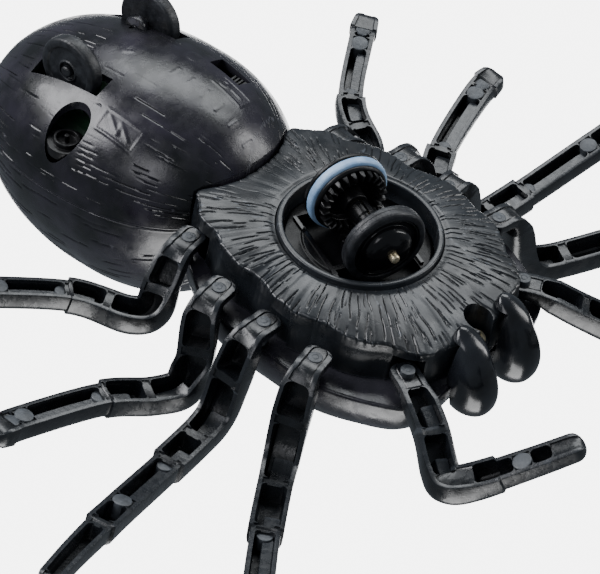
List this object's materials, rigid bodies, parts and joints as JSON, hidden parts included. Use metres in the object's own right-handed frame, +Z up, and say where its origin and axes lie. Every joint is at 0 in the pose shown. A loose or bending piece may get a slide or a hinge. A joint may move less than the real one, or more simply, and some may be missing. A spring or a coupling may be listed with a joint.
{
  "type": "toy spider",
  "caption": "Wheeled toy spider with a steering drive turret under its thorax, an egg-shaped abdomen, and hollow-backed jointed legs, feelers and fangs.",
  "frame": {"origin": "middle of the footprint, on the floor the wheels stand on", "axes": "+Z up towards the spider's back, -Y towards the head, +X towards the spider's left side"},
  "size_m": [0.2188, 0.1658, 0.06],
  "materials": {
    "shell_plastic": "semi-gloss moulded black with engraved hair lines",
    "leg_plastic": "semi-gloss moulded black",
    "gloss_black": "polished black",
    "black_rubber": "dull black, lighter where it is worn",
    "pale_tyre": "milky pale blue, satin",
    "zinc_steel": "zinc plated",
    "inner_black": "dull black",
    "board_green": "solder mask",
    "cell_wrap": "shrink wrapped",
    "eye_red": "polished dark red",
    "case_grey": "satin grey"
  },
  "bodies": {
    "body": {"thorax_lower_shell": "shell_plastic", "thorax_back_shell": "shell_plastic", "abdomen_belly_shell": "shell_plastic", "abdomen_back_shell": "shell_plastic", "spinneret_left": "shell_plastic", "spinneret_right": "shell_plastic", "leg_1_pin_l": "leg_plastic", "leg_2_pin_l": "leg_plastic", "leg_3_pin_l": "leg_plastic", "leg_4_pin_l": "leg_plastic", "palp_pin_l": "leg_plastic", "leg_1_pin_r": "leg_plastic", "leg_2_pin_r": "leg_plastic", "leg_3_pin_r": "leg_plastic", "leg_4_pin_r": "leg_plastic", "palp_pin_r": "leg_plastic", "fang_left": "gloss_black", "fang_right": "gloss_black", "front_screw": "zinc_steel", "rear_pin_left": "zinc_steel", "rear_pin_right": "zinc_steel", "motor_can": "zinc_steel", "charging_socket": "inner_black", "circuit_board": "board_green", "battery_cell_left": "cell_wrap", "battery_cell_right": "cell_wrap", "eye_left": "eye_red", "eye_right": "eye_red", "chassis_plate": "case_grey", "gearbox_case": "case_grey"},
    "turret": {"turret_disc": "gloss_black"},
    "drive_wheel": {"drive_wheel_hub": "inner_black", "drive_wheel_tyre": "pale_tyre", "drive_axle": "zinc_steel"},
    "free_wheel": {"free_wheel_hub": "gloss_black", "free_wheel_tyre": "black_rubber"},
    "pinion": {"drive_pinion": "case_grey"},
    "rear_wheel_l": {"rear_wheel_left": "black_rubber"},
    "rear_wheel_r": {"rear_wheel_right": "black_rubber"},
    "switch": {"switch_knob": "inner_black"},
    "left_leg_1": {"leg_1_l": "leg_plastic"},
    "right_leg_1": {"leg_1_r": "leg_plastic"},
    "left_leg_2": {"leg_2_l": "leg_plastic"},
    "right_leg_2": {"leg_2_r": "leg_plastic"},
    "left_leg_3": {"leg_3_l": "leg_plastic"},
    "right_leg_3": {"leg_3_r": "leg_plastic"},
    "left_leg_4": {"leg_4_l": "leg_plastic"},
    "right_leg_4": {"leg_4_r": "leg_plastic"},
    "left_palp": {"palp_l": "leg_plastic"},
    "right_palp": {"palp_r": "leg_plastic"}
  },
  "joints": [
    {"name": "turret_turn", "type": "hinge", "parent": "body", "child": "turret", "pos_m": [0, -0.01417, 0.017], "axis": [0, 0, 1], "continuous": true},
    {"name": "drive_wheel_spin", "type": "hinge", "parent": "turret", "child": "drive_wheel", "pos_m": [0, -0.01417, 0.009], "axis": [0.3908, -0.9205, 0], "continuous": true},
    {"name": "free_wheel_spin", "type": "hinge", "parent": "turret", "child": "free_wheel", "pos_m": [0, -0.01417, 0.009], "axis": [0.3908, -0.9205, 0], "continuous": true},
    {"name": "pinion_spin", "type": "hinge", "parent": "turret", "child": "pinion", "pos_m": [0, -0.01417, 0.016], "axis": [0, 0, 1], "continuous": true},
    {"name": "rear_wheel_l_spin", "type": "hinge", "parent": "body", "child": "rear_wheel_l", "pos_m": [0.0123, 0.05533, 0.0075], "axis": [1, 0, 0], "continuous": true},
    {"name": "rear_wheel_r_spin", "type": "hinge", "parent": "body", "child": "rear_wheel_r", "pos_m": [-0.0123, 0.05533, 0.0075], "axis": [1, 0, 0], "continuous": true},
    {"name": "switch_slide", "type": "slide", "parent": "body", "child": "switch", "axis": [0, 1, 0], "range_m": [0, 0.003]},
    {"name": "left_leg_1_swing", "type": "hinge", "parent": "body", "child": "left_leg_1", "pos_m": [0.023, 0.01153, 0.02], "axis": [0, 0, 1], "range_deg": [-6, 6]},
    {"name": "right_leg_1_swing", "type": "hinge", "parent": "body", "child": "right_leg_1", "pos_m": [-0.023, 0.01153, 0.02], "axis": [0, 0, 1], "range_deg": [-6, 6]},
    {"name": "left_leg_2_swing", "type": "hinge", "parent": "body", "child": "left_leg_2", "pos_m": [0.0296, -0.00237, 0.02], "axis": [0, 0, 1], "range_deg": [-6, 6]},
    {"name": "right_leg_2_swing", "type": "hinge", "parent": "body", "child": "right_leg_2", "pos_m": [-0.0296, -0.00237, 0.02], "axis": [0, 0, 1], "range_deg": [-6, 6]},
    {"name": "left_leg_3_swing", "type": "hinge", "parent": "body", "child": "left_leg_3", "pos_m": [0.0303, -0.01487, 0.02], "axis": [0, 0, 1], "range_deg": [-6, 6]},
    {"name": "right_leg_3_swing", "type": "hinge", "parent": "body", "child": "right_leg_3", "pos_m": [-0.0303, -0.01487, 0.02], "axis": [0, 0, 1], "range_deg": [-6, 6]},
    {"name": "left_leg_4_swing", "type": "hinge", "parent": "body", "child": "left_leg_4", "pos_m": [0.0304, -0.02837, 0.02], "axis": [0, 0, 1], "range_deg": [-6, 6]},
    {"name": "right_leg_4_swing", "type": "hinge", "parent": "body", "child": "right_leg_4", "pos_m": [-0.0304, -0.02837, 0.02], "axis": [0, 0, 1], "range_deg": [-6, 6]},
    {"name": "left_palp_swing", "type": "hinge", "parent": "body", "child": "left_palp", "pos_m": [0.0194, -0.04317, 0.02], "axis": [0, 0, 1], "range_deg": [-6, 6]},
    {"name": "right_palp_swing", "type": "hinge", "parent": "body", "child": "right_palp", "pos_m": [-0.0194, -0.04317, 0.02], "axis": [0, 0, 1], "range_deg": [-6, 6]}
  ],
  "couplings": [
    {"joint": "pinion_spin", "follows": "drive_wheel_spin", "ratio": 2}
  ]
}
